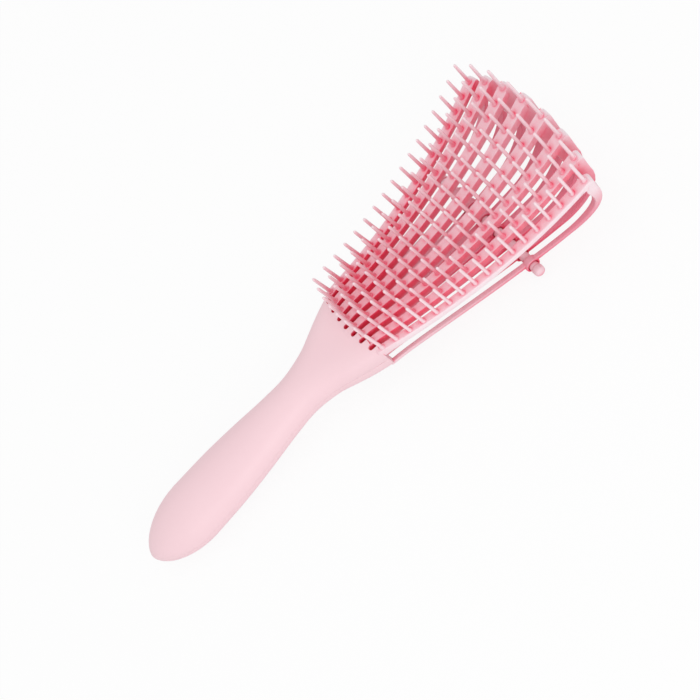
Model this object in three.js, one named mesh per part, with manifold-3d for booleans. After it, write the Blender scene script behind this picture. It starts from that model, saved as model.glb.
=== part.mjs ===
// A long-handled vented detangling brush.
// Eight flexible arms fan out of the handle. Each arm is a front strip with a row of pins,
// bent round at its tip into a thin strut that returns to the back of the handle.
// A round rod runs across the back of the head through an eye on every strut.
// Millimetres. X across the head, Y along the brush with the tips at +Y, Z up on the pin side.

import * as THREE from 'three';
import { mergeVertices } from 'three/addons/utils/BufferGeometryUtils.js';
import Module from 'manifold-3d';

const wasm = await Module();
wasm.setup();

// ---- Fits
const seamGap = 0.3; // between two moulded faces that meet
const rodClearance = 0.4; // between the rod and the eyes, all round
const neighbourClearance = 0.3; // left between parts that move towards each other

// ---- Head, seen from the front
const armCount = 8;
const armPitchAtRoot = 5.3; // arm to arm at the head's root line, y = 0
const fanSpread = 0.0625; // how much the pitch grows for each millimetre along the head
const fanEasing = 0.00098; // the outer arms lean out less than that, per arm place cubed
const headLength = 110; // root line to the tip of a middle arm
const tipSetback = 0.6; // how far the tip arc falls back, per arm place squared
const rootRowDrop = 2.3; // the middle arms' first pins stand this far behind the root line
const rootRowSetback = 0.19; // how the first row comes forward, per arm place squared
const rootToSlotEnd = 3.8; // first pin to the rounded end of the slot beside it
const rootToSeam = 1.35; // first pin to the line where its arm starts to bend

// ---- Head, seen from the side
const headArcRadius = 170; // the pin faces follow one long hollow arc
const headArcLowY = 32.5;
const headArcLowZ = -2.85;
const crownAtRoot = 1.1; // how far the outermost arms lie below the middle ones
const crownGrowth = 0.0267; // for each millimetre along the head

// ---- Front strips
const stripWidthAtRoot = 3.2;
const stripWidthAtTip = 5.2;
const stripDepthAtRoot = 4.4;
const stripDepthAtTip = 4;
const outerStripSlimming = 0.35; // the outermost strips are shallower by this share
const stripRootThickening = 1.7;
const thickeningLength = 12; // the thickening fades over about this length
const stripEdge = 0.6; // bevel along the strip's edges
const rootBlend = 0.6; // how softly the head's hollow arc leaves the handle's front
const tipPlanRadius = 2.3; // the tips are rounded in plan
const tipTopRadius = 1.4; // and over their front edge

// ---- Pins
const pinPitch = 6.4; // nominal, each row spaces its pins evenly
const lastPinToTip = 3;
const pinLength = 14.5;
const pinBaseRadius = 1.05;
const pinShankRadius = 0.74;
const pinTipRadius = 0.64;
const pinFlareHeight = 1.2;
const pinSides = 6;
const pinLean = THREE.MathUtils.degToRad(2.5); // the pins lean this much towards the handle

// ---- Return struts
const strutThickness = 1.8;
const strutThicknessAtTip = 2.4;
const strutWidthAtRoot = 2;
const strutWidthAtMiddle = 2.3;
const strutWidthAtBend = 2.2;
const strutWidthAtTip = 4.8;
const strutEdge = 0.6;
const strutInset = 0.75; // half-way along, the struts stand closer together, per arm place
const strutRootZ = -14.6; // middle of the strut where it leaves the handle
const strutLeadIn = 16; // length of the straight run out of the handle
const strutSagY = 45; // the pull point that bows the struts backwards
const strutSagZ = -25.2;
const bendStartY = 84; // the tip bends of all the arms start here
const strutBendZ = -17.55; // middle of an outermost strut where the tip bend starts
const backCrown = 6.45; // how much further back the middle struts lie there
const backCrownPower = 2.5; // how full the crown is
const bendLead = 10; // length over which the bend leaves the strut
const bendBulge = 2; // how far the bend is pulled out beyond the tip
const bendTopZ = 1; // above this the bend runs straight up to the strip
const tipFilling = 6; // how far the inside of a middle arm's bend is filled out below its strip
const tipFillingEasing = 0.3; // less than that for the outer arms, per arm place squared
const fillingStart = 0.5; // share of the bend where the filling begins

// ---- Rod, eyes and knobs
const rodRadius = 2.1;
const rodY = 64.8;
const rodBehindStrut = 1.5; // rod centre behind the middle of the struts
const eyeWall = 0.8;
const eyeLength = 3;
const knobRadius = 2.35;
const knobLength = 3.6;
const spigotRadius = 1.3;
const spigotLength = 2.2;
const rodPlay = 0.3; // how far the rod can shift to either side

// ---- Movement
const spreadAngle = THREE.MathUtils.degToRad(1); // each arm swings this far to either side

// ---- Handle
const handleLength = 131.3; // root line to the end of the handle
const handleMiddleZ = -8.1; // middle of the handle's thickness at the root line
const handleSlope = 0.0692; // the handle falls away from the head by this much
const handleWall = 2.4;
const rootBlock = 7; // solid length behind the arms' seams
const endDomeLength = 27.3;
const endDomePower = 0.58;
const lipThickness = 0.9;
const lipHeight = 1.5;
const restFlatDepth = 0.45; // how much of the handle's back is flattened where it lies down
// Along the handle: y, half width, half thickness, squareness of the section.
const handleStations = [
  [2, 21.3, 8.3, 5.5],
  [-9.6, 17.9, 8.2, 4.5],
  [-17.9, 14.9, 8.2, 3.5],
  [-26, 11.95, 8.15, 2.7],
  [-38.5, 9.75, 8.2, 2.3],
  [-51, 10.5, 8.5, 2.2],
  [-68, 12.4, 9.3, 2.2],
  [-85, 13.8, 9.9, 2.2],
  [-104, 14.25, 10.45, 2.2],
];

// ---- Finish
const softTouchPink = new THREE.MeshStandardMaterial({ color: 0xefc3ca, roughness: 0.55, metalness: 0 });
const armPink = new THREE.MeshStandardMaterial({ color: 0xe9919f, roughness: 0.4, metalness: 0 });
const strutPink = new THREE.MeshStandardMaterial({ color: 0xe07f90, roughness: 0.4, metalness: 0 });
const knobPink = new THREE.MeshStandardMaterial({ color: 0xefb9c2, roughness: 0.45, metalness: 0 });

// ---------------------------------------------------------------- shape helpers

// A smooth value along a list of rows whose first entry is the position.
function valueAlong(rows, column, position) {
  const sorted = [...rows].sort((a, b) => a[0] - b[0]);
  const last = sorted.length - 1;
  const clamped = THREE.MathUtils.clamp(position, sorted[0][0], sorted[last][0]);
  let i = 0;
  while (i < last - 1 && clamped > sorted[i + 1][0]) i += 1;
  const slopeAt = (k) => {
    const low = sorted[Math.max(k - 1, 0)];
    const high = sorted[Math.min(k + 1, last)];
    return (high[column] - low[column]) / (high[0] - low[0]);
  };
  const [from, to] = [sorted[i], sorted[i + 1]];
  const span = to[0] - from[0];
  const t = (clamped - from[0]) / span;
  const startTerm = (2 * t ** 3 - 3 * t ** 2 + 1) * from[column] + (t ** 3 - 2 * t ** 2 + t) * span * slopeAt(i);
  const endTerm = (3 * t ** 2 - 2 * t ** 3) * to[column] + (t ** 3 - t ** 2) * span * slopeAt(i + 1);
  return startTerm + endTerm;
}

function signedVolume(positions, indices) {
  const [a, b, c] = [new THREE.Vector3(), new THREE.Vector3(), new THREE.Vector3()];
  let volume = 0;
  for (let i = 0; i < indices.length; i += 3) {
    a.fromArray(positions, 3 * indices[i]);
    b.fromArray(positions, 3 * indices[i + 1]);
    c.fromArray(positions, 3 * indices[i + 2]);
    volume += a.dot(b.cross(c)) / 6;
  }
  return volume;
}

// A closed skin through rings of equally many points, with a flat fan over each end.
function loft(rings) {
  const sides = rings[0].length;
  const positions = rings.flat().flatMap((point) => point.toArray());
  const indices = [];
  for (let r = 0; r < rings.length - 1; r += 1) {
    for (let i = 0; i < sides; i += 1) {
      const a = r * sides + i;
      const b = r * sides + ((i + 1) % sides);
      indices.push(a, b, b + sides, a, b + sides, a + sides);
    }
  }
  const lastRing = (rings.length - 1) * sides;
  for (let i = 1; i < sides - 1; i += 1) {
    indices.push(0, i + 1, i);
    indices.push(lastRing, lastRing + i, lastRing + i + 1);
  }
  if (signedVolume(positions, indices) < 0) indices.reverse();
  const geometry = new THREE.BufferGeometry();
  geometry.setAttribute('position', new THREE.Float32BufferAttribute(positions, 3));
  geometry.setIndex(indices);
  return geometry;
}

function toSolid(geometry) {
  const bare = geometry.clone();
  bare.deleteAttribute('normal');
  bare.deleteAttribute('uv');
  const merged = mergeVertices(bare, 1e-5);
  const vertProperties = new Float32Array(merged.attributes.position.array);
  const triVerts = new Uint32Array(merged.index.array);
  return new wasm.Manifold(new wasm.Mesh({ numProp: 3, vertProperties, triVerts }));
}

function toGeometry(solid) {
  const mesh = solid.getMesh();
  const geometry = new THREE.BufferGeometry();
  geometry.setAttribute('position', new THREE.BufferAttribute(mesh.vertProperties, 3));
  geometry.setIndex(new THREE.BufferAttribute(mesh.triVerts, 1));
  geometry.computeVertexNormals();
  return geometry;
}

function boxSolid(min, max, matrix = new THREE.Matrix4()) {
  const geometry = new THREE.BoxGeometry(max.x - min.x, max.y - min.y, max.z - min.z);
  geometry.translate((min.x + max.x) / 2, (min.y + max.y) / 2, (min.z + max.z) / 2);
  return toSolid(geometry.applyMatrix4(matrix));
}

// A cylinder along X, centred on a point.
function crossCylinder(radius, length, sides, centre, matrix = new THREE.Matrix4()) {
  const geometry = new THREE.CylinderGeometry(radius, radius, length, sides);
  geometry.rotateZ(Math.PI / 2);
  geometry.translate(centre.x, centre.y, centre.z);
  return toSolid(geometry.applyMatrix4(matrix));
}

// Eight points of a bevelled rectangle: half width, top, bottom and bevel.
function bevelledSection(halfWidth, top, bottom, bevel) {
  return [
    [halfWidth, bottom + bevel],
    [halfWidth, top - bevel],
    [halfWidth - bevel, top],
    [bevel - halfWidth, top],
    [-halfWidth, top - bevel],
    [-halfWidth, bottom + bevel],
    [bevel - halfWidth, bottom],
    [halfWidth - bevel, bottom],
  ];
}

// ---------------------------------------------------------------- layout of the head

// Arm places run from -3.5 to 3.5 across the head.
const armPlace = (number) => number - (armCount + 1) / 2;
const outerPlace = armPlace(armCount);
const fanLean = (place) => fanSpread * place - fanEasing * place ** 3;
const fanAngle = (place) => Math.atan(fanLean(place));
const armX = (place, y) => place * armPitchAtRoot + fanLean(place) * y;
const rootRowY = (place) => rootRowSetback * place ** 2 - rootRowDrop;
const seamY = (place) => rootRowY(place) - rootToSeam;
const tipY = (place) => headLength - tipSetback * place ** 2;

// The pin face runs on from the handle's front and then follows the hollow arc.
function frontZ(place, y) {
  const arc = headArcLowZ + headArcRadius - Math.sqrt(headArcRadius ** 2 - (y - headArcLowY) ** 2);
  const handleFront = handleMiddle(y) + handleStations[0][2];
  const blended = (arc + handleFront - Math.hypot(arc - handleFront, rootBlend)) / 2;
  const crown = (crownAtRoot + crownGrowth * y) * (place / outerPlace) ** 2;
  return (y < headArcLowY ? blended : arc) - crown;
}

function stripDepthAt(place, y) {
  const middleDepth = THREE.MathUtils.mapLinear(y, 0, headLength, stripDepthAtRoot, stripDepthAtTip);
  const depth = middleDepth * (1 - outerStripSlimming * (place / outerPlace) ** 2);
  return depth + stripRootThickening * Math.exp(-(y - seamY(place)) / thickeningLength);
}

const stripWidthAt = (y) => THREE.MathUtils.mapLinear(y, 0, headLength, stripWidthAtRoot, stripWidthAtTip);
const undersideZ = (place, y) => frontZ(place, y) - stripDepthAt(place, y);

// Each arm is built in a frame of its own: its origin on the arm's bending axis, +Y along the arm.
function armFrame(place) {
  const turn = new THREE.Matrix4().makeRotationZ(-fanAngle(place));
  return turn.setPosition(armX(place, seamY(place)), seamY(place), 0);
}

// Distance along an arm's own frame of a point at y on the head.
const alongArm = (place, y) => (y - seamY(place)) / Math.cos(fanAngle(place));

// ---------------------------------------------------------------- front strips with pins

function stripRings(place) {
  const tip = tipY(place);
  const start = seamY(place) + (seamGap / 2) * Math.cos(fanAngle(place));
  const bodySteps = 11;
  const bodyEnd = tip - tipPlanRadius;
  const stations = [];
  for (let i = 0; i <= bodySteps; i += 1) {
    stations.push(THREE.MathUtils.lerp(start, bodyEnd, i / bodySteps));
  }
  for (const share of [0.45, 0.8, 1]) stations.push(bodyEnd + tipPlanRadius * share);
  return stations.map((y) => {
    const toTip = Math.max(tip - y, 0);
    const intoPlan = Math.max(tipPlanRadius - toTip, 0);
    const intoTop = Math.max(tipTopRadius - toTip, 0);
    const planInset = tipPlanRadius - Math.sqrt(tipPlanRadius ** 2 - intoPlan ** 2);
    const topDrop = tipTopRadius - Math.sqrt(tipTopRadius ** 2 - intoTop ** 2);
    const halfWidth = stripWidthAt(y) / 2 - planInset * 0.7;
    const bevel = Math.min(stripEdge, halfWidth * 0.6);
    const section = bevelledSection(halfWidth, frontZ(place, y) - topDrop, undersideZ(place, y), bevel);
    return section.map(([x, z]) => new THREE.Vector3(x, alongArm(place, y), z));
  });
}

function pinSolid(place, y) {
  const profile = [
    new THREE.Vector2(0, -pinFlareHeight),
    new THREE.Vector2(2 * pinBaseRadius - pinShankRadius, -pinFlareHeight),
    new THREE.Vector2(pinShankRadius, pinFlareHeight),
    new THREE.Vector2(pinTipRadius, pinLength - pinTipRadius),
    new THREE.Vector2(0, pinLength),
  ];
  const geometry = new THREE.LatheGeometry(profile, pinSides);
  geometry.rotateX(Math.PI / 2 + pinLean);
  geometry.translate(0, alongArm(place, y), frontZ(place, y));
  return toSolid(geometry);
}

function pinRows(place) {
  const first = rootRowY(place);
  const last = tipY(place) - lastPinToTip;
  const spaces = Math.round((last - first) / pinPitch);
  return Array.from({ length: spaces + 1 }, (unused, i) => THREE.MathUtils.lerp(first, last, i / spaces));
}

function stripGeometry(place) {
  let solid = toSolid(loft(stripRings(place)));
  for (const y of pinRows(place)) solid = solid.add(pinSolid(place, y));
  return toGeometry(solid);
}

// ---------------------------------------------------------------- return struts

// The middle line of a strut in its side view, x standing for the length along the head.
function strutPath(place) {
  const endY = tipY(place) - strutThicknessAtTip / 2 - 0.15;
  const bendZ = strutBendZ - backCrown * (1 - Math.abs(place / outerPlace) ** backCrownPower);
  const bendSlope = (bendZ - strutSagZ) / (bendStartY - strutSagY);
  const rear = new THREE.CubicBezierCurve(
    new THREE.Vector2(seamY(place) + seamGap / 2, strutRootZ),
    new THREE.Vector2(seamY(place) + strutLeadIn, strutRootZ - 0.3),
    new THREE.Vector2(strutSagY, strutSagZ),
    new THREE.Vector2(bendStartY, bendZ),
  );
  const bend = new THREE.CubicBezierCurve(
    new THREE.Vector2(bendStartY, bendZ),
    new THREE.Vector2(bendStartY + bendLead, bendZ + bendLead * bendSlope),
    new THREE.Vector2(endY + bendBulge, THREE.MathUtils.lerp(bendZ, bendTopZ, 0.4)),
    new THREE.Vector2(endY, bendTopZ),
  );
  return { rear, bend, endY };
}

// How far a strut stands in from its arm's middle line, in the arm's own frame.
function strutShift(place, y) {
  const share = (y - seamY(place)) / (tipY(place) - strutThicknessAtTip - seamY(place));
  return -strutInset * place * Math.sin(Math.PI * THREE.MathUtils.clamp(share, 0, 1));
}

function strutMiddleZ(place, y) {
  const { rear } = strutPath(place);
  const points = rear.getPoints(200);
  const after = points.findIndex((point) => point.x >= y);
  const [a, b] = [points[after - 1], points[after]];
  return THREE.MathUtils.mapLinear(y, a.x, b.x, a.y, b.y);
}

const rodZ = strutMiddleZ(outerPlace, rodY) - rodBehindStrut;
const eyeRadius = rodRadius + rodClearance + eyeWall;

function strutRings(place) {
  const { rear, bend, endY } = strutPath(place);
  const rings = [];
  const ringAt = (point, tangent, width, thickness, filling = 0) => {
    const normal = new THREE.Vector2(-tangent.y, tangent.x);
    const section = bevelledSection(width / 2, thickness / 2 + filling, -thickness / 2, strutEdge);
    rings.push(section.map(([x, offset]) => {
      const y = point.x + normal.x * offset;
      return new THREE.Vector3(x + strutShift(place, y), alongArm(place, y), point.y + normal.y * offset);
    }));
  };
  const widths = [[0, strutWidthAtRoot], [0.55, strutWidthAtMiddle], [1, strutWidthAtBend]];
  const rearSteps = 9;
  for (let i = 0; i <= rearSteps; i += 1) {
    const t = i / rearSteps;
    const tangent = i === 0 ? new THREE.Vector2(1, 0) : rear.getTangent(t);
    ringAt(rear.getPoint(t), tangent, valueAlong(widths, 1, t), strutThickness);
  }
  const fullFilling = tipFilling - tipFillingEasing * place ** 2;
  const bendSteps = 8;
  for (let i = 1; i <= bendSteps; i += 1) {
    const t = i / bendSteps;
    const width = THREE.MathUtils.lerp(strutWidthAtBend, strutWidthAtTip, t);
    const thickness = THREE.MathUtils.lerp(strutThickness, strutThicknessAtTip, t);
    const filling = fullFilling * THREE.MathUtils.smoothstep(t, fillingStart, 1);
    ringAt(bend.getPoint(t), bend.getTangent(t), width, thickness, filling);
  }
  // The last ring follows the underside of the strip above it.
  const halfThickness = strutThicknessAtTip / 2;
  const top = bevelledSection(strutWidthAtTip / 2, halfThickness + fullFilling, -halfThickness, strutEdge);
  rings.push(top.map(([x, offset]) => {
    const y = endY - offset;
    return new THREE.Vector3(x, alongArm(place, y), undersideZ(place, y) - seamGap);
  }));
  return rings;
}

const eyeX = (place) => armX(place, rodY) + strutShift(place, rodY);

function strutGeometry(place) {
  const toArm = armFrame(place).invert();
  const eyeCentre = new THREE.Vector3(eyeX(place), rodY, rodZ);
  const holeRadius = rodRadius + rodClearance;
  const eye = crossCylinder(eyeRadius, eyeLength, 14, eyeCentre, toArm);
  const hole = crossCylinder(holeRadius, 3 * eyeLength, 14, eyeCentre, toArm);
  return toGeometry(toSolid(loft(strutRings(place))).add(eye).subtract(hole));
}

// ---------------------------------------------------------------- rod and knobs

const outerEyeFace = eyeX(outerPlace) + eyeLength / 2;
const swingAtRod = Math.sin(spreadAngle) * (rodY - seamY(outerPlace));
const knobStartX = outerEyeFace + swingAtRod + rodPlay + neighbourClearance;

function rodGeometry() {
  const half = knobStartX - seamGap;
  const geometry = new THREE.LatheGeometry([
    new THREE.Vector2(0, -half - spigotLength),
    new THREE.Vector2(spigotRadius, -half - spigotLength),
    new THREE.Vector2(spigotRadius, -half),
    new THREE.Vector2(rodRadius, -half),
    new THREE.Vector2(rodRadius, half),
    new THREE.Vector2(spigotRadius, half),
    new THREE.Vector2(spigotRadius, half + spigotLength),
    new THREE.Vector2(0, half + spigotLength),
  ], 20);
  return geometry.rotateZ(-Math.PI / 2);
}

// A cap with a blind socket for the rod's spigot and a domed outer end, along +X.
function knobGeometry() {
  const socket = spigotRadius + seamGap;
  const socketDepth = spigotLength;
  const profile = [
    new THREE.Vector2(0, socketDepth),
    new THREE.Vector2(socket, socketDepth),
    new THREE.Vector2(socket, 0),
    new THREE.Vector2(knobRadius - 0.3, 0),
    new THREE.Vector2(knobRadius, 0.3),
  ];
  const domeLength = 1.6;
  const domeSteps = 5;
  for (let i = 0; i <= domeSteps; i += 1) {
    const angle = (i / domeSteps) * (Math.PI / 2);
    const radius = i === domeSteps ? 0 : knobRadius * Math.cos(angle);
    profile.push(new THREE.Vector2(radius, knobLength - domeLength + domeLength * Math.sin(angle)));
  }
  return new THREE.LatheGeometry(profile, 20).rotateZ(-Math.PI / 2);
}

// ---------------------------------------------------------------- handle

const domeStart = endDomeLength - handleLength;
const gripHalfThickness = handleStations.at(-1)[2];
const handleMiddle = (y) => handleMiddleZ + handleSlope * y;
const restZ = handleMiddle(domeStart) - gripHalfThickness + restFlatDepth; // what the brush lies on

// Half width and half thickness of the handle at y, with a wall taken off them.
function handleSize(y, inset) {
  const shrink = y < domeStart ? Math.max(1 - ((domeStart - y) / endDomeLength) ** 2, 0) ** endDomePower : 1;
  return {
    halfWidth: Math.max(valueAlong(handleStations, 1, y) * shrink - inset, 0.3),
    halfThickness: Math.max(valueAlong(handleStations, 2, y) * shrink - inset, 0.3),
    squareness: valueAlong(handleStations, 3, y),
  };
}

function handleLoft(inset, fromY, toY) {
  const points = 20;
  const bodySteps = 11;
  const domeSteps = 5;
  const domeEnd = Math.max(fromY, domeStart);
  const stations = [];
  for (let i = 0; i < domeSteps; i += 1) {
    const angle = (Math.PI / 2) * (1 - i / domeSteps) * 0.985;
    stations.push(domeStart - (domeStart - fromY) * Math.sin(angle));
  }
  for (let i = 0; i <= bodySteps; i += 1) {
    stations.push(THREE.MathUtils.lerp(domeEnd, toY, i / bodySteps));
  }
  return loft(stations.map((y) => {
    const { halfWidth, halfThickness, squareness } = handleSize(y, inset);
    return Array.from({ length: points }, (unused, i) => {
      const angle = ((i + 0.5) / points) * 2 * Math.PI;
      const [c, s] = [Math.cos(angle), Math.sin(angle)];
      const x = halfWidth * Math.sign(c) * Math.abs(c) ** (2 / squareness);
      const z = halfThickness * Math.sign(s) * Math.abs(s) ** (2 / squareness);
      return new THREE.Vector3(x, y, handleMiddle(y) + z);
    });
  }));
}

// Everything above or below the parting plane, moved off it by a distance.
function partingHalf(side, offset) {
  const reach = 200;
  const tilt = new THREE.Matrix4().makeRotationX(Math.atan(handleSlope));
  tilt.setPosition(0, 0, handleMiddleZ);
  const [low, high] = side > 0 ? [offset, reach] : [-reach, offset];
  return boxSolid(new THREE.Vector3(-reach, -reach, low), new THREE.Vector3(reach, reach, high), tilt);
}

// What is cut away at the head end: the room of the arms, and the slots between their roots.
function headEndCut() {
  const reach = 40;
  let cut = null;
  const join = (solid) => {
    cut = cut ? cut.add(solid) : solid;
  };
  for (let number = 1; number <= armCount; number += 1) {
    const place = armPlace(number);
    const halfRoom = armPitchAtRoot / 2 + 0.4;
    const left = number === 1 ? 9 : halfRoom;
    const right = number === armCount ? 9 : halfRoom;
    const min = new THREE.Vector3(-left, -seamGap / 2, -reach);
    join(boxSolid(min, new THREE.Vector3(right, reach, reach), armFrame(place)));
  }
  for (let number = 1; number < armCount; number += 1) {
    const place = armPlace(number) + 0.5;
    const endY = rootRowY(place) - rootToSlotEnd;
    const halfSlot = (armPitchAtRoot - stripWidthAtRoot) / 2;
    const slotShape = new THREE.Shape();
    slotShape.absarc(0, halfSlot, halfSlot, Math.PI, 2 * Math.PI, false);
    slotShape.lineTo(halfSlot, rootToSlotEnd + 4);
    slotShape.lineTo(-halfSlot, rootToSlotEnd + 4);
    const slot = new THREE.ExtrudeGeometry(slotShape, { depth: 2 * reach, bevelEnabled: false, curveSegments: 5 });
    slot.translate(0, 0, -reach);
    slot.rotateZ(-fanAngle(place));
    slot.translate(armX(place, endY), endY, 0);
    join(toSolid(slot));
  }
  return cut;
}

function handleShells() {
  const openEnd = seamY(outerPlace) + 2.5;
  const cavityEnd = seamY(armPlace(armCount / 2)) - rootToSlotEnd - rootBlock;
  const cavityStart = handleWall - handleLength;
  const outer = toSolid(handleLoft(0, -handleLength, openEnd)).subtract(headEndCut());
  const cavity = toSolid(handleLoft(handleWall, cavityStart, cavityEnd));
  const lipInset = handleWall - lipThickness;
  const lipOuter = toSolid(handleLoft(lipInset, -handleLength + lipInset, cavityEnd + lipThickness));
  const grooveInset = lipInset - seamGap;
  const grooveEnd = cavityEnd + lipThickness + seamGap;
  const groove = toSolid(handleLoft(grooveInset, -handleLength + grooveInset, grooveEnd));
  const below = boxSolid(new THREE.Vector3(-60, -200, restZ - 60), new THREE.Vector3(60, 60, restZ));
  const front = outer.intersect(partingHalf(1, seamGap / 2)).subtract(cavity);
  const lip = lipOuter.subtract(cavity).intersect(partingHalf(-1, 0.5)).subtract(partingHalf(-1, -lipHeight));
  const grooveBand = groove.subtract(partingHalf(-1, -lipHeight - seamGap));
  const back = outer.intersect(partingHalf(-1, -seamGap / 2)).subtract(cavity).subtract(grooveBand).subtract(below);
  return { front: toGeometry(front.add(lip)), back: toGeometry(back) };
}

// ---------------------------------------------------------------- assembly

function addMesh(parent, name, geometry, material) {
  const mesh = new THREE.Mesh(geometry, material);
  mesh.name = name;
  parent.add(mesh);
  return mesh;
}

const brush = new THREE.Group();
const shells = handleShells();
addMesh(brush, 'handle_front_shell', shells.front, softTouchPink);
addMesh(brush, 'handle_back_shell', shells.back, softTouchPink);

for (let number = 1; number <= armCount; number += 1) {
  const place = armPlace(number);
  const arm = new THREE.Group();
  arm.applyMatrix4(armFrame(place));
  addMesh(arm, `arm_${number}`, stripGeometry(place), armPink);
  addMesh(arm, `return_strut_${number}`, strutGeometry(place), strutPink);
  brush.add(arm);
}

addMesh(brush, 'cross_rod', rodGeometry(), strutPink).position.set(0, rodY, rodZ);
addMesh(brush, 'rod_knob_right', knobGeometry(), knobPink).position.set(knobStartX, rodY, rodZ);
const leftKnob = addMesh(brush, 'rod_knob_left', knobGeometry(), knobPink);
leftKnob.position.set(-knobStartX, rodY, rodZ);
leftKnob.rotation.z = Math.PI;

// The origin is under the middle of the brush, at the level of the surface that it lies on.
const middleY = (tipY(armPlace(armCount / 2)) - handleLength) / 2;
brush.position.set(0, -middleY, -restZ);

export default brush;
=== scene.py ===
# %% [markdown]
# # A vented detangling brush, dressed in Blender
#
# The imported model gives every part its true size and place. This lesson makes what the eye
# sees around it: a soft-touch handle in two halves, eight arms that are each moulded in one
# with their pins and their return struts, and the rod with its two knobs.
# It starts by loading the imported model, and nothing in that model is moved or changed.

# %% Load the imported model
import math

import bmesh
import bpy
from mathutils import Euler, Matrix, Vector
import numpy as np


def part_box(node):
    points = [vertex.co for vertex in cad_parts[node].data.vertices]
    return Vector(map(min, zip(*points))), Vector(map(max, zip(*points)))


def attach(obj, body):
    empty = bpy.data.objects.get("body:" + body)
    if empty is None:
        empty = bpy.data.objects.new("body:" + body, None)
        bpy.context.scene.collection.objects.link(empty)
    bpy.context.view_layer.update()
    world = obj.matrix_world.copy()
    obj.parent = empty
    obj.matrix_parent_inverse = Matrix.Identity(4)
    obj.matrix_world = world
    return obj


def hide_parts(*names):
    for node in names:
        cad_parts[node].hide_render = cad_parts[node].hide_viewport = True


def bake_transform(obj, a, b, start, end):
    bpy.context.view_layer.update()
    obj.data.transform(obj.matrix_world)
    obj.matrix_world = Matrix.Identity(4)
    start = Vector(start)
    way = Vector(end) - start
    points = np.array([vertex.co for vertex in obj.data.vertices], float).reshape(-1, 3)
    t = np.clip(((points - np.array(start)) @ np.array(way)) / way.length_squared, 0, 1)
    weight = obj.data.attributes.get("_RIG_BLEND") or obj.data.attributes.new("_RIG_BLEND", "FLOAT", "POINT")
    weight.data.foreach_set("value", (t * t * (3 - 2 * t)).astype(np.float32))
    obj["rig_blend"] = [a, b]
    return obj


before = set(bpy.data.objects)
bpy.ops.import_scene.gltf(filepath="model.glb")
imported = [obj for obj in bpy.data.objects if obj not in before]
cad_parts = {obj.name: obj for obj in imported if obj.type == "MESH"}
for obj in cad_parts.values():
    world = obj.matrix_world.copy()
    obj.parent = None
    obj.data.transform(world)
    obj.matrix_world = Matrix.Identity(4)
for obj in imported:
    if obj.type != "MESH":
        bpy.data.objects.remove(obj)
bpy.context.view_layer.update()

# %% [markdown]
# ## The camera
#
# The picture is square and was taken from the right of the brush, well above it. The camera
# comes first, so that each piece can be looked at from the right side while it is made.
# Its place was found from the pins, the arms and the outline of the handle.

# %% Camera
picture_width = 700
focal_length_in_pixels = 1503.8
camera_place = Vector((0.3454, 0.05376, 0.51618))
camera_turn = [math.radians(angle) for angle in (22.706, 26.991, 51.648)]

camera_data = bpy.data.cameras.new("camera")
camera_data.sensor_width = 36
camera_data.lens = focal_length_in_pixels * camera_data.sensor_width / picture_width
camera_data.clip_start = 0.01
camera = bpy.data.objects.new("camera", camera_data)
camera.location = camera_place
camera.rotation_euler = Euler(camera_turn, "XYZ")
bpy.context.scene.collection.objects.link(camera)
bpy.context.scene.camera = camera
print("lens:", round(camera_data.lens, 1), "mm")

# %% [markdown]
# ## Sizes
#
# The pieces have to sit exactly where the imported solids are, so the sizes that shape them are
# repeated here, in millimetres. The drawing starts at the head's root line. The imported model
# starts under the middle of the brush, on the surface that it lies on, so one shift takes a
# point from the drawing to the model.

# %% Sizes of the head
mm = 0.001

arm_count = 8
arm_pitch_at_root = 5.3
fan_spread = 0.0625
fan_easing = 0.00098
head_length = 110
tip_setback = 0.6
root_row_drop = 2.3
root_row_setback = 0.19
root_to_slot_end = 3.8
root_to_seam = 1.35

head_arc_radius = 170
head_arc_low_y = 32.5
head_arc_low_z = -2.85
crown_at_root = 1.1
crown_growth = 0.0267
root_blend = 0.6

strip_width_at_root = 3.2
strip_width_at_tip = 5.2
strip_depth_at_root = 4.4
strip_depth_at_tip = 4
outer_strip_slimming = 0.35
strip_root_thickening = 1.7
thickening_length = 12

strut_thickness = 1.8
strut_thickness_at_tip = 2.4
strut_width_at_root = 2
strut_width_at_middle = 2.3
strut_width_at_bend = 2.2
strut_width_at_tip = 4.0
strut_inset = 0.75
strut_root_z = -14.6
strut_lead_in = 16
strut_sag_y = 45
strut_sag_z = -25.2
bend_start_y = 84
strut_bend_z = -17.55
back_crown = 6.45
back_crown_power = 2.5
bend_lead = 10
bend_bulge = 2
bend_top_z = 1
tip_inset = 0.15

# %% Sizes of the rod and the handle
rod_radius = 2.1
rod_y = 64.8
rod_behind_strut = 1.5
eye_radius = 3.3
eye_hole_radius = 2.5
eye_length = 3

handle_length = 131.3
handle_middle_at_root = -8.1
handle_slope = 0.0692
end_dome_length = 27.3
end_dome_power = 0.58
rest_flat_depth = 0.45
dome_start = end_dome_length - handle_length
# Along the handle: y, half width, half thickness, squareness of the section.
handle_stations = [
    (-104, 14.25, 10.45, 2.2),
    (-85, 13.8, 9.9, 2.2),
    (-68, 12.4, 9.3, 2.2),
    (-51, 10.5, 8.5, 2.2),
    (-38.5, 9.75, 8.2, 2.3),
    (-26, 11.95, 8.15, 2.7),
    (-17.9, 14.9, 8.2, 3.5),
    (-9.6, 17.9, 8.2, 4.5),
    (2, 21.3, 8.3, 5.5),
]


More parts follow.
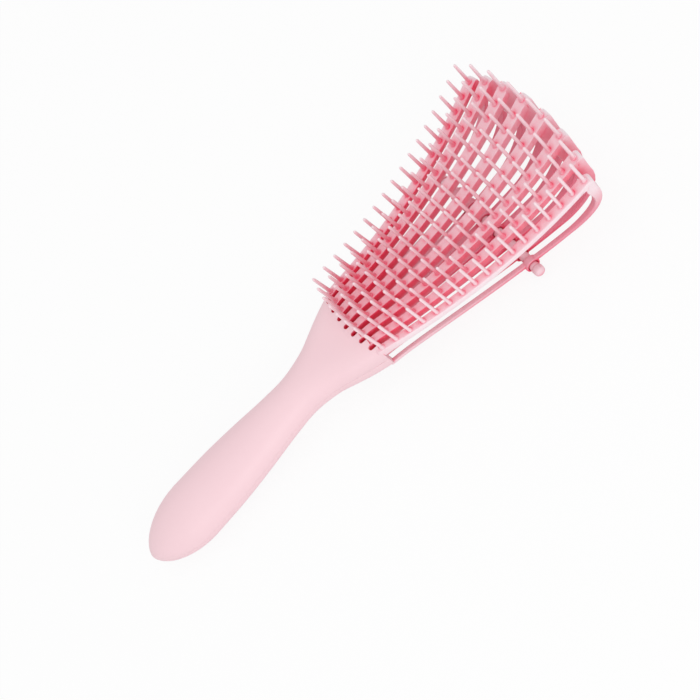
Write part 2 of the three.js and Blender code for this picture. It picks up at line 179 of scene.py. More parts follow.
def value_along(rows, column, position):
    """A smooth value along rows whose first entry is the position."""
    last = len(rows) - 1
    position = min(max(position, rows[0][0]), rows[last][0])
    i = 0
    while i < last - 1 and position > rows[i + 1][0]:
        i += 1

    def slope_at(k):
        low, high = rows[max(k - 1, 0)], rows[min(k + 1, last)]
        return (high[column] - low[column]) / (high[0] - low[0])

    start, end = rows[i], rows[i + 1]
    span = end[0] - start[0]
    t = (position - start[0]) / span
    from_start = (2 * t**3 - 3 * t**2 + 1) * start[column] + (t**3 - 2 * t**2 + t) * span * slope_at(i)
    from_end = (3 * t**2 - 2 * t**3) * end[column] + (t**3 - t**2) * span * slope_at(i + 1)
    return from_start + from_end


def bezier(a, b, c, d, t):
    """A point of a cubic curve, and the direction in which it runs there."""
    a, b, c, d = (Vector(point) for point in (a, b, c, d))
    s = 1 - t
    point = s**3 * a + 3 * s**2 * t * b + 3 * s * t**2 * c + t**3 * d
    direction = s**2 * (b - a) + 2 * s * t * (c - b) + t**2 * (d - c)
    return point, direction.normalized()


def between(low, high, share):
    return low + (high - low) * share


# %% Where the arms run
def arm_place(number):
    return number - (arm_count + 1) / 2


outer_place = arm_place(arm_count)


def fan_lean(place):
    return fan_spread * place - fan_easing * place**3


def fan_angle(place):
    return math.atan(fan_lean(place))


def arm_x(place, y):
    return place * arm_pitch_at_root + fan_lean(place) * y


def root_row_y(place):
    return root_row_setback * place**2 - root_row_drop


def seam_y(place):
    return root_row_y(place) - root_to_seam


def tip_y(place):
    return head_length - tip_setback * place**2


def along_arm(place, y):
    return (y - seam_y(place)) / math.cos(fan_angle(place))


def strip_width(y):
    return between(strip_width_at_root, strip_width_at_tip, y / head_length)


def strip_depth(place, y):
    middle_depth = between(strip_depth_at_root, strip_depth_at_tip, y / head_length)
    depth = middle_depth * (1 - outer_strip_slimming * (place / outer_place) ** 2)
    return depth + strip_root_thickening * math.exp(-(y - seam_y(place)) / thickening_length)


# %% Where the struts run
def bend_start_z(place):
    return strut_bend_z - back_crown * (1 - abs(place / outer_place) ** back_crown_power)


def rear_curve(place):
    """The strut's middle line in its side view, from the handle to the start of the tip bend."""
    return (
        (seam_y(place), strut_root_z),
        (seam_y(place) + strut_lead_in, strut_root_z - 0.3),
        (strut_sag_y, strut_sag_z),
        (bend_start_y, bend_start_z(place)),
    )


def bend_curve(place):
    """The middle line of the tip bend, from the strut up to the underside of the strip."""
    bend_z = bend_start_z(place)
    slope = (bend_z - strut_sag_z) / (bend_start_y - strut_sag_y)
    end_y = tip_y(place) - strut_thickness_at_tip / 2 - tip_inset
    return (
        (bend_start_y, bend_z),
        (bend_start_y + bend_lead, bend_z + bend_lead * slope),
        (end_y + bend_bulge, between(bend_z, bend_top_z, 0.4)),
        (end_y, bend_top_z),
    )


def strut_shift(place, y):
    share = (y - seam_y(place)) / (tip_y(place) - strut_thickness_at_tip - seam_y(place))
    return -strut_inset * place * math.sin(math.pi * min(max(share, 0), 1))


def strut_middle_z(place, y):
    """Halves the curve again and again until it has found the point at y."""
    low, high = 0.0, 1.0
    for _ in range(40):
        middle = (low + high) / 2
        if bezier(*rear_curve(place), middle)[0].x < y:
            low = middle
        else:
            high = middle
    return bezier(*rear_curve(place), low)[0].y


def handle_middle(y):
    return handle_middle_at_root + handle_slope * y


rod_z = strut_middle_z(outer_place, rod_y) - rod_behind_strut
grip_half_thickness = handle_stations[0][2]
rest_z = handle_middle(dome_start) - grip_half_thickness + rest_flat_depth
middle_y = (tip_y(arm_place(arm_count / 2)) - handle_length) / 2
to_model = Vector((0, -middle_y, -rest_z)) * mm


def front_z(place, y):
    arc = head_arc_low_z + head_arc_radius - math.sqrt(head_arc_radius**2 - (y - head_arc_low_y) ** 2)
    handle_front = handle_middle(y) + handle_stations[-1][2]
    blended = (arc + handle_front - math.hypot(arc - handle_front, root_blend)) / 2
    crown = (crown_at_root + crown_growth * y) * (place / outer_place) ** 2
    return (blended if y < head_arc_low_y else arc) - crown


def underside_z(place, y):
    return front_z(place, y) - strip_depth(place, y)


rod_low, rod_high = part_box("cross_rod")
rod_middle_z = (rod_low.z + rod_high.z) / 2 / mm
print("rod centre here and in the model, mm:", round(rod_z - rest_z, 2), round(rod_middle_z, 2))

# %% [markdown]
# ## Helpers for modelling by hand
#
# An operator acts on everything that is selected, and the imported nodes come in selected. So
# each piece starts from an empty selection. A ring of a piece is extruded first and then pulled
# to its place, because its width, its depth and its slope all change from one ring to the next.

# %% Helpers
def clear_selection():
    if bpy.context.object and bpy.context.object.mode != "OBJECT":
        bpy.ops.object.mode_set(mode="OBJECT")
    bpy.ops.object.select_all(action="DESELECT")


def select_only(piece):
    clear_selection()
    piece.select_set(True)
    bpy.context.view_layer.objects.active = piece


def name_piece(name):
    piece = bpy.context.object
    piece.name = name
    piece.data.name = name
    return piece


def pull_ring(piece, old_points, new_points):
    """Moves the selected ring of a piece in edit mode from its old points to new ones."""
    edit = bmesh.from_edit_mesh(piece.data)
    for vertex in [v for v in edit.verts if v.select]:
        distances = [(vertex.co - point).length_squared for point in old_points]
        vertex.co = new_points[distances.index(min(distances))]
    bmesh.update_edit_mesh(piece.data)


def pull_through(name, rings):
    """A closed skin, pulled ring by ring from one end face."""
    clear_selection()
    bpy.ops.mesh.primitive_circle_add(vertices=len(rings[0]), radius=mm, fill_type="NGON")
    piece = name_piece(name)
    start = [vertex.co.copy() for vertex in piece.data.vertices]
    bpy.ops.object.mode_set(mode="EDIT")
    bpy.ops.mesh.select_all(action="SELECT")
    pull_ring(piece, start, rings[0])
    for old, new in zip(rings, rings[1:]):
        bpy.ops.mesh.extrude_region_move(TRANSFORM_OT_translate={"value": (0, 0, 0)})
        pull_ring(piece, old, new)
    bpy.ops.mesh.select_all(action="SELECT")
    bpy.ops.mesh.normals_make_consistent(inside=False)
    bpy.ops.object.mode_set(mode="OBJECT")
    return piece


def apply_modifier(piece, kind, **settings):
    select_only(piece)
    modifier = piece.modifiers.new(kind.lower(), kind)
    for key, value in settings.items():
        setattr(modifier, key, value)
    bpy.ops.object.modifier_apply(modifier=modifier.name)


def settle(piece, matrix):
    """Takes a piece from the drawing to the model, with its place in its mesh."""
    select_only(piece)
    piece.matrix_world = Matrix.Translation(to_model) @ matrix
    bpy.ops.object.transform_apply(location=True, rotation=True, scale=True)


def smooth(piece, degrees):
    select_only(piece)
    bpy.ops.object.shade_smooth_by_angle(angle=math.radians(degrees))


def join(pieces):
    clear_selection()
    for piece in pieces:
        piece.select_set(True)
    bpy.context.view_layer.objects.active = pieces[0]
    bpy.ops.object.join()
    return pieces[0]


# %% [markdown]
# ## Handle
#
# The handle is a hollow moulding in two halves with a soft-touch skin. It is oval at the grip,
# narrow at the neck, and nearly square where it widens into the head. It could be sculpted from
# a subdivided box, but a skin pulled through measured sections keeps the grip's exact outline.

# %% Handle body
smallest_half_size = 0.2


def handle_ring(y, points=48):
    share = max(1 - ((dome_start - y) / end_dome_length) ** 2, 0) if y < dome_start else 1
    shrink = share**end_dome_power
    half_width = max(value_along(handle_stations, 1, y) * shrink, smallest_half_size)
    half_thickness = max(value_along(handle_stations, 2, y) * shrink, smallest_half_size)
    power = 2 / value_along(handle_stations, 3, y)
    ring = []
    for i in range(points):
        angle = (i + 0.5) / points * 2 * math.pi
        c, s = math.cos(angle), math.sin(angle)
        x = half_width * math.copysign(abs(c) ** power, c)
        z = half_thickness * math.copysign(abs(s) ** power, s)
        ring.append(Vector((x, y, handle_middle(y) + z)) * mm)
    return ring


reach_past_seam = 2.5
open_end = seam_y(outer_place) + reach_past_seam
dome_steps, grip_steps, flare_steps = 12, 34, 8
flare_start = -15
dome_angles = [math.pi / 2 * (1 - i / dome_steps) for i in range(dome_steps)]
handle_ys = [dome_start - end_dome_length * math.sin(angle) for angle in dome_angles]
handle_ys[0] += 0.02  # the first ring keeps a little width, so that the end face is closed
handle_ys += [between(dome_start, flare_start, i / grip_steps) for i in range(grip_steps)]
handle_ys += [between(flare_start, open_end, i / flare_steps) for i in range(flare_steps + 1)]
handle_body = pull_through("handle_body", [handle_ring(y) for y in handle_ys])
print("handle body faces:", len(handle_body.data.polygons))

# %% [markdown]
# ## Slots between the roots of the arms
#
# The arms grow out of the handle's front, with a round-ended slot between each two. The slots
# are cut with plain blocks and round bars, as a toolmaker would cut them in the mould.

# %% Cutters
cutter_reach = 40
cut_past_outer_arm = 9
cut_margin = 0.4
slot_cut_length = 12


def cutter_block(low, high, matrix):
    clear_selection()
    size = Vector(high) - Vector(low)
    bpy.ops.mesh.primitive_cube_add(size=1)
    cutter = bpy.context.object
    middle = Matrix.Translation((Vector(high) + Vector(low)) / 2 * mm)
    cutter.matrix_world = matrix @ middle @ Matrix.Diagonal((*(size * mm), 1))
    return cutter


def cutter_bar(radius, place_on_head):
    clear_selection()
    bpy.ops.mesh.primitive_cylinder_add(
        vertices=24, radius=radius * mm, depth=2 * cutter_reach * mm, location=place_on_head * mm
    )
    return bpy.context.object


def arm_matrix(place):
    turn = Matrix.Rotation(-fan_angle(place), 4, "Z")
    return Matrix.Translation(Vector((arm_x(place, seam_y(place)), seam_y(place), 0)) * mm) @ turn


cutters = []
for number in range(1, arm_count + 1):
    half_pitch = arm_pitch_at_root / 2 + cut_margin
    low = (-cut_past_outer_arm if number == 1 else -half_pitch, 0, -cutter_reach)
    high = (cut_past_outer_arm if number == arm_count else half_pitch, cutter_reach, cutter_reach)
    cutters.append(cutter_block(low, high, arm_matrix(arm_place(number))))

slot_half_width = (arm_pitch_at_root - strip_width_at_root) / 2
for number in range(1, arm_count):
    place = arm_place(number) + 0.5
    end_y = root_row_y(place) - root_to_slot_end
    round_end = Vector((arm_x(place, end_y + slot_half_width), end_y + slot_half_width, 0))
    cutters.append(cutter_bar(slot_half_width, round_end))
    turn = Matrix.Translation(round_end * mm) @ Matrix.Rotation(-fan_angle(place), 4, "Z")
    low = (-slot_half_width, 0, -cutter_reach)
    cutters.append(cutter_block(low, (slot_half_width, slot_cut_length, cutter_reach), turn))

for cutter in cutters:
    apply_modifier(handle_body, "BOOLEAN", operation="DIFFERENCE", solver="EXACT", object=cutter)
    bpy.data.objects.remove(cutter)
print("handle faces after the slots:", len(handle_body.data.polygons))

# %% Split the handle into its two halves
def cut_away(piece, point, normal, edge_rounding):
    """Cuts off what lies on the far side of a plane, closes the cut and rounds its edge a little."""
    select_only(piece)
    bpy.ops.object.mode_set(mode="EDIT")
    bpy.ops.mesh.select_all(action="SELECT")
    bpy.ops.mesh.bisect(
        plane_co=point, plane_no=normal, use_fill=True, clear_outer=True, threshold=1e-6
    )
    if edge_rounding:
        bpy.ops.mesh.bevel(offset=edge_rounding, segments=2, affect="EDGES", clamp_overlap=True)
    bpy.ops.object.mode_set(mode="OBJECT")


parting_gap = 0.06
edge_round = 0.12
parting_normal = Vector((0, -handle_slope, 1)).normalized()
parting_point = Vector((0, 0, handle_middle_at_root)) * mm

handle_back = handle_body.copy()
handle_back.data = handle_body.data.copy()
bpy.context.scene.collection.objects.link(handle_back)
handle_back.name = "handle_back"
handle_front = handle_body
handle_front.name = "handle_front"
half_gap = parting_normal * parting_gap / 2 * mm
cut_away(handle_front, parting_point + half_gap, -parting_normal, edge_round * mm)
cut_away(handle_back, parting_point - half_gap, parting_normal, edge_round * mm)
cut_away(handle_back, Vector((0, 0, rest_z)) * mm, Vector((0, 0, -1)), 0)

for piece, node in ((handle_front, "handle_front_shell"), (handle_back, "handle_back_shell")):
    settle(piece, Matrix())
    smooth(piece, 35)
    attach(piece, "handle")
    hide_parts(node)
    print(piece.name, "faces:", len(piece.data.polygons))

# %% [markdown]
# ## One pin
#
# Every pin is the same: a slim tapered peg with a flared foot that runs into its strip and a
# small rounded tip. It is made once, pulled upwards ring by ring from a flat circle, and its
# mesh is copied 140 times, so it keeps to a few dozen faces.

# %% Pin
pin_length = 14.47
pin_sides = 8
pin_profile = [
    (-0.8, 1.45),
    (0.0, 1.3),
    (0.5, 1.04),
    (1.4, 0.84),
    (6.5, 0.76),
    (13.6, 0.67),
    (14.2, 0.5),
    (pin_length, 0.2),
]


def round_ring(radius, height, sides):
    angles = [2 * math.pi * i / sides for i in range(sides)]
    return [Vector((radius * math.cos(a), radius * math.sin(a), height)) * mm for a in angles]


pin = pull_through("pin", [round_ring(radius, height, pin_sides) for height, radius in pin_profile])
smooth(pin, 60)
print("faces of one pin:", len(pin.data.polygons))

# %% [markdown]
# ## Arms
#
# An arm is one moulding: a strip that carries the pins, a bend at the tip, and a thin strut that
# returns to the handle's back. The photograph shows no joint anywhere along it, so one skin is
# pulled along the whole loop: out along the strip, round the tip and back along the strut.
# A strip, a bend and a strut as three pieces would show seams that the real arm doesn't have.
#
# One fault is known and left. The skins of arms 2, 3, 6 and 7 have a crack about 0.002 mm wide
# at the tip. The exact solver expects closed skins, and on some of these arms it leaves stray
# faces where the eye meets the strut. Which arms these are can change from run to run.

# %% The loop's side view
tip_corner_radius = 3.2
root_overlap = 1.5
tip_filling = 6
tip_filling_easing = 0.3
filling_start = 0.5
inner_corner_drop = 1.6
root_clearance = 0.06
strut_root_slimming = 0.1
strip_steps, corner_steps, bend_steps, rear_steps = 24, 5, 12, 22


def loop_stations(place):
    """Rows of outer point, inner point, width and sideways shift, from root to root.

    A shift of None stands for the strut's own shift, which changes along it.
    """
    tip = tip_y(place) - tip_inset
    corner_y = tip - tip_corner_radius
    start = seam_y(place)
    root = start - root_overlap
    root_front = (root, front_z(place, start) - root_clearance)
    root_width = strip_width_at_root - 2 * root_clearance
    rows = [(root_front, (root, underside_z(place, start)), root_width, 0)]
    for i in range(strip_steps + 1):
        y = between(start, corner_y, i / strip_steps)
        rows.append(((y, front_z(place, y)), (y, underside_z(place, y)), strip_width(y), 0))
    full_filling = tip_filling - tip_filling_easing * place**2
    inner_end_y = tip - strut_thickness_at_tip - full_filling
    inner_end = Vector((inner_end_y, underside_z(place, tip) - inner_corner_drop))
    inner_start = Vector((corner_y, underside_z(place, corner_y)))
    for i in range(1, corner_steps + 1):
        angle = math.pi / 2 * i / corner_steps
        outer_y = corner_y + tip_corner_radius * math.sin(angle)
        outer_z = front_z(place, outer_y) - tip_corner_radius * (1 - math.cos(angle))
        inner_y = between(inner_start.x, inner_end.x, math.sin(angle))
        inner_z = between(inner_start.y, inner_end.y, 1 - math.cos(angle))
        width = between(strip_width(outer_y), strut_width_at_tip, 1 - math.cos(angle))
        rows.append(((outer_y, outer_z), (inner_y, inner_z), width, 0))
    for i in range(bend_steps + 1):
        t = 1 - i / bend_steps
        point, direction = bezier(*bend_curve(place), t)
        normal = Vector((-direction.y, direction.x))
        half = between(strut_thickness, strut_thickness_at_tip, t) / 2
        share = min(max((t - filling_start) / (1 - filling_start), 0), 1)
        filling = full_filling * share**2 * (3 - 2 * share)
        outer, inner = point - normal * half, point + normal * (half + filling)
        width = between(strut_width_at_bend, strut_width_at_tip, t)
        rows.append((tuple(outer), tuple(inner), width, None))
    widths = [(0, strut_width_at_root), (0.55, strut_width_at_middle), (1, strut_width_at_bend)]
    for i in range(1, rear_steps + 1):
        t = 1 - i / rear_steps
        point, direction = bezier(*rear_curve(place), t)
        normal = Vector((-direction.y, direction.x))
        half = normal * strut_thickness / 2
        outer, inner = point - half, point + half
        rows.append((tuple(outer), tuple(inner), value_along(widths, 1, t), None))
    half = strut_thickness / 2
    root_outer, root_inner = (root, strut_root_z - half), (root, strut_root_z + half)
    rows.append((root_outer, root_inner, strut_width_at_root - strut_root_slimming, 0))
    return rows


def loop_ring(place, row):
    outer, inner, width, shift = row
    points = []
    for side, (y, z) in ((1, outer), (-1, outer), (-1, inner), (1, inner)):
        sideways = strut_shift(place, y) if shift is None else shift
        points.append(Vector((side * width / 2 + sideways, along_arm(place, y), z)) * mm)
    return points


# %% Pins, eyes and loops put together
pin_pitch = 6.4
last_pin_to_tip = 3
pin_lean = math.radians(2.5)
strip_edge = 0.6
eye_edge = 0.35
hole_cutter_length = 9


def pin_rows(place):
    first, last = root_row_y(place), tip_y(place) - last_pin_to_tip
    spaces = round((last - first) / pin_pitch)
    return [between(first, last, i / spaces) for i in range(spaces + 1)]


def round_edges(piece, width, sharper_than):
    angle = math.radians(sharper_than)
    apply_modifier(piece, "BEVEL", width=width, segments=3, limit_method="ANGLE", angle_limit=angle)


def bar_across(place, radius, length):
    """A round bar along the rod's line, where the rod meets the strut, in the drawing's place."""
    centre = Vector((arm_x(place, rod_y) + strut_shift(place, rod_y), rod_y, rod_z)) * mm
    turn = (0, math.pi / 2, 0)
    clear_selection()
    bpy.ops.mesh.primitive_cylinder_add(
        vertices=32, radius=radius * mm, depth=length * mm, location=centre, rotation=turn
    )
    return bpy.context.object


def make_eye(place):
    """The ring on the back of the strut that the rod runs through."""
    eye = bar_across(place, eye_radius, eye_length)
    bpy.ops.object.transform_apply(location=True, rotation=True, scale=True)
    round_edges(eye, eye_edge * mm, 60)
    return eye


def copy_pins(place):
    copies = []
    for y in pin_rows(place):
        copy = bpy.data.objects.new("pin_copy", pin.data.copy())
        bpy.context.scene.collection.objects.link(copy)
        foot = Vector((0, along_arm(place, y), front_z(place, y))) * mm
        lean = Matrix.Rotation(pin_lean, 4, "X")
        copy.matrix_world = arm_matrix(place) @ Matrix.Translation(foot) @ lean
        copies.append(copy)
    return copies


arm_loops = []
for number in range(1, arm_count + 1):
    place = arm_place(number)
    loop = pull_through(f"arm_loop_{number}", [loop_ring(place, row) for row in loop_stations(place)])
    round_edges(loop, strip_edge * mm, 50)
    select_only(loop)
    loop.matrix_world = arm_matrix(place)
    bpy.ops.object.transform_apply(location=True, rotation=True, scale=True)
    eye, hole = make_eye(place), bar_across(place, eye_hole_radius, hole_cutter_length)
    apply_modifier(loop, "BOOLEAN", operation="UNION", solver="EXACT", object=eye)
    apply_modifier(loop, "BOOLEAN", operation="DIFFERENCE", solver="EXACT", object=hole)
    bpy.data.objects.remove(eye)
    bpy.data.objects.remove(hole)
    smooth(loop, 40)
    loop = join([loop, *copy_pins(place)])
    settle(loop, Matrix())
    arm_loops.append(loop)
bpy.data.objects.remove(pin)
print("arms:", len(arm_loops), "faces of the first:", len(arm_loops[0].data.polygons))

# %% [markdown]
# Each arm really flexes out of the handle and doesn't turn on a pin. So near its root a loop
# follows the handle, and further out it follows its own body, with a soft change between.

# %% Let the arms bend out of the handle
flex_length = 14

for number, loop in enumerate(arm_loops, start=1):
    place = arm_place(number)
    start_y = seam_y(place)
    start = Vector((0, start_y, 0)) * mm + to_model
    end = Vector((0, start_y + flex_length, 0)) * mm + to_model
    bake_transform(loop, "handle", f"arm_{number}_loop", start=tuple(start), end=tuple(end))
    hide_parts(f"arm_{number}", f"return_strut_{number}")
print("loops that flex out of the handle:", len(arm_loops))

# %% [markdown]
# ## Rod and knobs
#
# A round rod runs through the eyes of all the struts and keeps them in step. A rounded knob at
# each end stops it from sliding out.

# %% Rod
knob_length = 3.6
knob_radius = 2.35
rod_edge = 0.15
rod_sides = 40
rod_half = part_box("rod_knob_right")[0].x / mm
rod_profile = [
    (-rod_half, rod_radius - rod_edge),
    (-rod_half + rod_edge, rod_radius),
    (rod_half - rod_edge, rod_radius),
    (rod_half, rod_radius - rod_edge),
]
across = Matrix.Translation(Vector((0, rod_y, rod_z)) * mm) @ Matrix.Rotation(math.pi / 2, 4, "Y")
rod = pull_through("rod", [round_ring(radius, height, rod_sides) for height, radius in rod_profile])
settle(rod, across)
smooth(rod, 40)
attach(rod, "rod")
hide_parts("cross_rod")
print("rod from", round(rod_low.x / mm, 1), "to", round(rod_high.x / mm, 1), "mm")

# %% Knobs
knob_dome = 1.6
knob_dome_power = 0.8
knob_dome_steps = 8
knob_profile = [(0.02, knob_radius - 0.3), (0.1, knob_radius - 0.1), (0.35, knob_radius)]
for i in range(knob_dome_steps):
    angle = math.pi / 2 * i / knob_dome_steps
    height = knob_length - knob_dome + knob_dome * math.sin(angle)
    knob_profile.append((height, knob_radius * math.cos(angle) ** knob_dome_power))
knob_profile.append((knob_length, 0.12))

for name, side in (("knob_right", 1), ("knob_left", -1)):
    knob = pull_through(name, [round_ring(radius, height, rod_sides) for height, radius in knob_profile])
    turn = Matrix.Rotation(side * math.pi / 2, 4, "Y")
    settle(knob, Matrix.Translation(Vector((side * rod_half, rod_y, rod_z)) * mm) @ turn)
    smooth(knob, 50)
    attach(knob, "rod")
    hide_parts(f"rod_{name}")
    print(name, "faces:", len(knob.data.polygons))

# %% [markdown]
# ## Finishes
#
# The materials are written as sums on sockets. One small class wraps a socket, so that a mask
# can be added, scaled or turned round as if it were a number, and one method makes any node.

# %% Socket maths
class Reading:
    """An output of a node, with maths on it."""

    def __init__(self, finish, socket):
        self.finish = finish
        self.socket = socket

    def maths(self, operation, first, second):
        return self.finish.node("ShaderNodeMath", {"operation": operation}, {0: first, 1: second})

    def __add__(self, other):
        return self.maths("ADD", self, other)

    def __radd__(self, other):
        return self.maths("ADD", other, self)

    def __sub__(self, other):
        return self.maths("SUBTRACT", self, other)

    def __rsub__(self, other):
        return self.maths("SUBTRACT", other, self)

    def __mul__(self, other):
        return self.maths("MULTIPLY", self, other)

    def __rmul__(self, other):
        return self.maths("MULTIPLY", other, self)


class Finish:
    """A material that is being made, around its own shader."""

    def __init__(self, name, **shader_values):
        self.material = bpy.data.materials.new(name)
        self.material.use_nodes = True
        self.tree = self.material.node_tree
        self.shader = self.tree.nodes["Principled BSDF"]
        for key, value in shader_values.items():
            self.shader.inputs[key.replace("_", " ").title()].default_value = value

    def node(self, kind, settings=None, sockets=None, output=0):
        made = self.tree.nodes.new(kind)
        for key, value in (settings or {}).items():
            setattr(made, key, value)
        for key, value in (sockets or {}).items():
            if isinstance(value, Reading):
                self.tree.links.new(value.socket, made.inputs[key])
            else:
                made.inputs[key].default_value = value
        return Reading(self, made.outputs[output])

    def place(self):
        return self.node("ShaderNodeTexCoord", output="Object")

    def noise(self, scale, detail, vector=None):
        sockets = {"Vector": vector or self.place(), "Scale": scale, "Detail": detail}
        return self.node("ShaderNodeTexNoise", sockets=sockets)

    def stretched_place(self, scale):
        sockets = {"Vector": self.place(), "Scale": scale}
        return self.node("ShaderNodeMapping", {"vector_type": "POINT"}, sockets)

    def rescaled(self, reading, low, high):
        """0 where the reading is low and 1 where it is high, and never past either."""
        sockets = {"Value": reading, "From Min": low, "From Max": high}
        return self.node("ShaderNodeMapRange", sockets=sockets)

    def blend_colours(self, factor, first, second):
        first = (*first, 1) if isinstance(first, tuple) else first
        second = (*second, 1) if isinstance(second, tuple) else second
        sockets = {0: factor, 6: first, 7: second}
        return self.node("ShaderNodeMix", {"data_type": "RGBA"}, sockets, output=2)

    def ramp(self, factor, stops):
        made = self.node("ShaderNodeValToRGB", sockets={"Fac": factor})
        elements = made.socket.node.color_ramp.elements
        while len(elements) < len(stops):
            elements.new(0.5)
        for element, (position, colour) in zip(elements, stops):
            element.position = position
            element.color = (*colour, 1)
        return made

    def openness(self, reach):
        """1 on an open surface, and less where other surfaces stand within reach of it."""
        # What it reads becomes painted shade and painted light in the pink.
        settings = {"samples": 10}
        return self.node("ShaderNodeAmbientOcclusion", settings, {"Distance": reach}, output="AO")

    def attribute(self, name):
        return self.node("ShaderNodeAttribute", {"attribute_name": name}, output="Fac")

    def bump(self, height, strength, distance):
        sockets = {"Strength": strength, "Distance": distance, "Height": height}
        return self.node("ShaderNodeBump", sockets=sockets)

    def feed(self, **readings):
        for key, reading in readings.items():
            self.tree.links.new(reading.socket, self.shader.inputs[key.replace("_", " ").title()])
        return self.material


# %% [markdown]
# The pink carries painted light and shade. Hidden places are painted a strong crimson shade and open ones a
# pale, nearly white light, and the arms, the struts, the roots and the rod each run between the two in their
# own way. Each table below gives tones for how open a place is, from 0 for hidden to 1 for open.

# %% Painted shade and painted light of the pink nylon, from hidden places to open ones
arm_light_and_shade_tones = (
    (0.1, (0.98, 0.005, 0.08)),
    (0.42, (0.98, 0.03, 0.13)),
    (0.6, (0.97, 0.20, 0.30)),
    (0.76, (0.95, 0.47, 0.55)),
    (0.9, (0.95, 0.67, 0.73)),
    (1.0, (0.96, 0.82, 0.86)),
)
# The struts lie under the arms, so their tones are all painted shade.
strut_shade_tones = (
    (0.1, (0.95, 0.005, 0.07)),
    (0.45, (0.96, 0.04, 0.13)),
    (0.7, (0.92, 0.14, 0.24)),
    (1.0, (0.86, 0.26, 0.35)),
)
root_light_and_shade_tones = (
    (0.1, (0.85, 0.01, 0.07)),
    (0.4, (0.93, 0.10, 0.20)),
    (0.6, (0.94, 0.45, 0.53)),
    (0.9, (0.94, 0.68, 0.73)),
)
rod_light_and_shade_tones = (
    (0.2, (0.80, 0.02, 0.08)),
    (0.55, (0.90, 0.25, 0.34)),
    (0.85, (0.93, 0.64, 0.70)),
)

# %% [markdown]
# The handle's soft-touch skin is a pale, even pink. Up close it has a very fine grain from the
# mould, and slightly uneven gloss where the lacquer lies thicker. Inside the narrow slots between
# the roots of the arms the hidden faces get a painted crimson shade, and a mask keeps that painted shade to
# the head's end.

# %% Soft-touch finish
# The painted slot shade fades in over this length.
slot_shade_fade = 0.004
slots_from = (root_row_y(0.5) - root_to_slot_end - middle_y) * mm


def soft_touch():
    finish = Finish("soft_touch_pink", coat_weight=0.08, coat_roughness=0.35)
    tint = finish.noise(scale=28, detail=3)
    skin_colour = finish.blend_colours(tint, (0.925, 0.64, 0.69), (0.945, 0.68, 0.725))
    # Painted shade: hidden faces in the slots at the head's end are painted crimson.
    hidden = finish.rescaled(finish.openness(0.006), 0.65, 0.3)
    along = finish.node("ShaderNodeSeparateXYZ", sockets={"Vector": finish.place()}, output="Y")
    in_head = finish.rescaled(along, slots_from - slot_shade_fade, slots_from)
    colour = finish.blend_colours(hidden * in_head, skin_colour, (0.9, 0.02, 0.1))
    grain = finish.noise(scale=2600, detail=2)
    cloud = finish.noise(scale=160, detail=3)
    roughness = 0.42 + 0.1 * cloud + 0.05 * grain
    skin = finish.bump(grain, strength=0.12, distance=0.00004)
    return finish.feed(base_color=colour, roughness=roughness, normal=skin)


# %% [markdown]
# The arms are a slightly see-through pink nylon, whose light and shade are painted into the colour.
# Open faces and the ends of the pins are painted pale, as painted light. Deep between the arms
# they are painted a strong crimson, as painted shade. An Ambient Occlusion node tells the two apart, because
# it measures how open a place is.
# The struts, which lie under the arms, are painted a medium to deep pink as painted shade, the pins are
# painted paler towards their ends as painted light, and the roots run into the handle's own pink. Each arm
# carries three attributes that say where on it a place is.

# %% Where on its arm a place is
# The first two set where the painted strut shade starts below the strip and over what depth it grows.
strut_fade_from = 4.0
strut_fade = 13.0
root_fade = 11.0


def shares(place, y, z):
    """How far a place on an arm counts as strut, for its painted shade, as root, and as pin, for its painted
    light, each from 0 to 1.
    """
    reach = min(max(y, seam_y(place)), tip_y(place))
    depth = underside_z(place, reach) - z
    return {
        "strut_shade_share": (depth - strut_fade_from) / strut_fade,
        "root_share": 1 - (y - seam_y(place)) / root_fade,
        "pin_light_share": (z - front_z(place, reach)) / pin_length,
    }


for number, loop in enumerate(arm_loops, start=1):
    place = arm_place(number)
    corners = [(v.co.y / mm + middle_y, v.co.z / mm + rest_z) for v in loop.data.vertices]
    measured = [shares(place, y, z) for y, z in corners]
    for name in measured[0]:
        attribute = loop.data.attributes.new(name, "FLOAT", "POINT")
        attribute.data.foreach_set("value", [min(max(found[name], 0), 1) for found in measured])
print("attributes of an arm:", [a.name for a in arm_loops[0].data.attributes if "share" in a.name])


# %% Arm finish
def arm_nylon():
    finish = Finish("arm_nylon_pink", coat_weight=0.12, coat_roughness=0.3)
    streaks = finish.noise(scale=260, detail=3, vector=finish.stretched_place((1.0, 0.12, 1.0)))
    blotches = finish.noise(scale=420, detail=2)
    # The tone ramps paint shade into hidden places and light onto open ones.
    openness = finish.openness(0.009) + 0.12 * blotches - 0.06
    tone = finish.ramp(openness, arm_light_and_shade_tones)
    # Painted shade on the struts, which lie under the arms.
    strut_shade_tone = finish.ramp(openness, strut_shade_tones)
    tone = finish.blend_colours(finish.attribute("strut_shade_share"), tone, strut_shade_tone)
    root_light_and_shade_tone = finish.ramp(openness, root_light_and_shade_tones)
    tone = finish.blend_colours(finish.attribute("root_share"), tone, root_light_and_shade_tone)
    tone = finish.blend_colours(0.12 * streaks, tone, (0.95, 0.45, 0.55))
    # Painted light: the pins are painted paler towards their ends.
    tone = finish.blend_colours(0.6 * finish.attribute("pin_light_share"), tone, (0.95, 0.74, 0.78))
    grain = finish.noise(scale=2200, detail=2)
    roughness = 0.36 + 0.08 * streaks + 0.05 * grain
    skin = finish.bump(grain, strength=0.1, distance=0.00004)
    return finish.feed(base_color=tone, roughness=roughness, normal=skin)


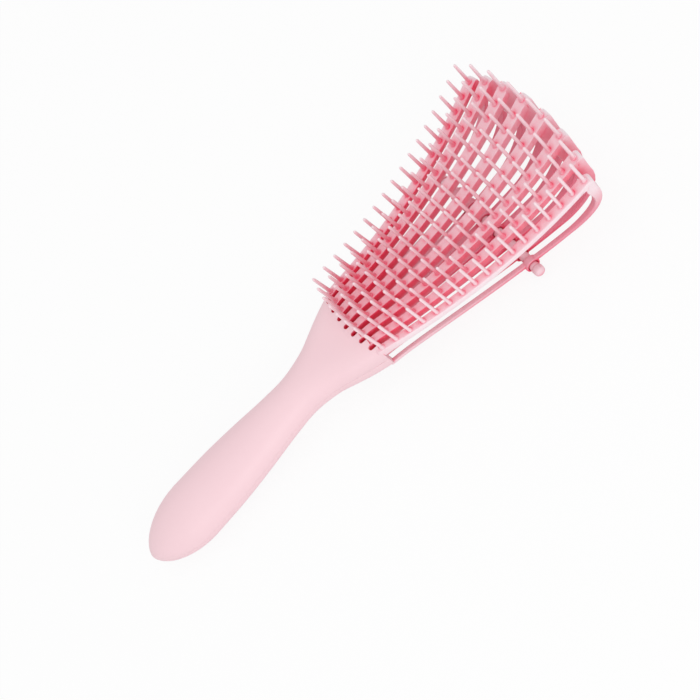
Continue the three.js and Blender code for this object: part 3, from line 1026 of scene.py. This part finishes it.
def rod_nylon():
    finish = Finish("rod_nylon_pink", coat_weight=0.1, coat_roughness=0.3)
    streaks = finish.noise(scale=300, detail=3, vector=finish.stretched_place((0.12, 1.0, 1.0)))
    # Painted shade where the rod is hidden, painted light where it is open.
    tone = finish.ramp(finish.openness(0.01), rod_light_and_shade_tones)
    colour = finish.blend_colours(0.25 * streaks, tone, (0.94, 0.70, 0.75))
    grain = finish.noise(scale=2200, detail=2)
    roughness = 0.36 + 0.08 * streaks + 0.05 * grain
    skin = finish.bump(grain, strength=0.1, distance=0.00004)
    return finish.feed(base_color=colour, roughness=roughness, normal=skin)


def dress(piece, material):
    piece.data.materials.clear()
    piece.data.materials.append(material)


handle_skin, arm_skin, rod_skin = soft_touch(), arm_nylon(), rod_nylon()
for piece in (handle_front, handle_back):
    dress(piece, handle_skin)
for loop in arm_loops:
    dress(loop, arm_skin)
for name in ("rod", "knob_right", "knob_left"):
    dress(bpy.data.objects[name], rod_skin)
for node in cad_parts.values():
    for slot in node.material_slots:
        slot.material = handle_skin if node.name.startswith("handle") else arm_skin
print("finishes:", [m.name for m in (handle_skin, arm_skin, rod_skin)])

# %% [markdown]
# ## Floor, background and light
#
# The picture has a plain white ground. The floor glows white, but only to the camera, and keeps
# a faint shadow so that the brush lies on something. The light is a broad soft one from the
# right and above, with a weaker fill from overhead. The room itself gives a plain, even level.

# %% Floor
floor_size = 6
floor_drop = 0.0002
white_to_camera = 0.9

clear_selection()
bpy.ops.mesh.primitive_plane_add(size=floor_size, location=(0, 0, -floor_drop))
floor = name_piece("floor")
ground = Finish("white_ground", roughness=0.9, base_color=(0.9, 0.9, 0.9, 1))
paths = ground.tree.nodes.new("ShaderNodeLightPath")
glow = ground.tree.nodes.new("ShaderNodeEmission")
glow.inputs["Color"].default_value = (1, 1, 1, 1)
seen = Reading(ground, paths.outputs["Is Camera Ray"]) * white_to_camera
mix = ground.tree.nodes.new("ShaderNodeMixShader")
ground.tree.links.new(seen.socket, mix.inputs["Fac"])
ground.tree.links.new(ground.shader.outputs["BSDF"], mix.inputs[1])
ground.tree.links.new(glow.outputs["Emission"], mix.inputs[2])
ground.tree.links.new(mix.outputs["Shader"], ground.tree.nodes["Material Output"].inputs["Surface"])
dress(floor, ground.material)
print("floor finish:", ground.material.name)

# %% World and lamps
room_level = 0.72
white_level = 1.0

world = bpy.data.worlds.new("studio")
bpy.context.scene.world = world
world.use_nodes = True
sky = world.node_tree.nodes["Background"]
sky.inputs["Color"].default_value = (1, 1, 1, 1)
paths = world.node_tree.nodes.new("ShaderNodeLightPath")
seen = world.node_tree.nodes.new("ShaderNodeMath")
seen.operation = "MAXIMUM"
world.node_tree.links.new(paths.outputs["Is Camera Ray"], seen.inputs[0])
world.node_tree.links.new(paths.outputs["Is Transmission Ray"], seen.inputs[1])
level = world.node_tree.nodes.new("ShaderNodeMapRange")
level.inputs["To Min"].default_value = room_level
level.inputs["To Max"].default_value = white_level
world.node_tree.links.new(seen.outputs[0], level.inputs["Value"])
world.node_tree.links.new(level.outputs["Result"], sky.inputs["Strength"])


def soft_lamp(name, place, aim, size, power):
    lamp = bpy.data.lights.new(name, "AREA")
    lamp.shape = "SQUARE"
    lamp.size = size
    lamp.energy = power
    holder = bpy.data.objects.new(name, lamp)
    holder.location = place
    direction = Vector(aim) - Vector(place)
    holder.rotation_euler = direction.to_track_quat("-Z", "Y").to_euler()
    bpy.context.scene.collection.objects.link(holder)


soft_lamp("key_from_the_right", place=(0.8, 0.05, 0.5), aim=(0, 0.02, 0.02), size=0.6, power=2.3)
soft_lamp("fill_from_above", place=(-0.2, -0.1, 1.0), aim=(0, 0, 0.02), size=0.8, power=1.3)
bpy.context.scene.view_settings.view_transform = "Standard"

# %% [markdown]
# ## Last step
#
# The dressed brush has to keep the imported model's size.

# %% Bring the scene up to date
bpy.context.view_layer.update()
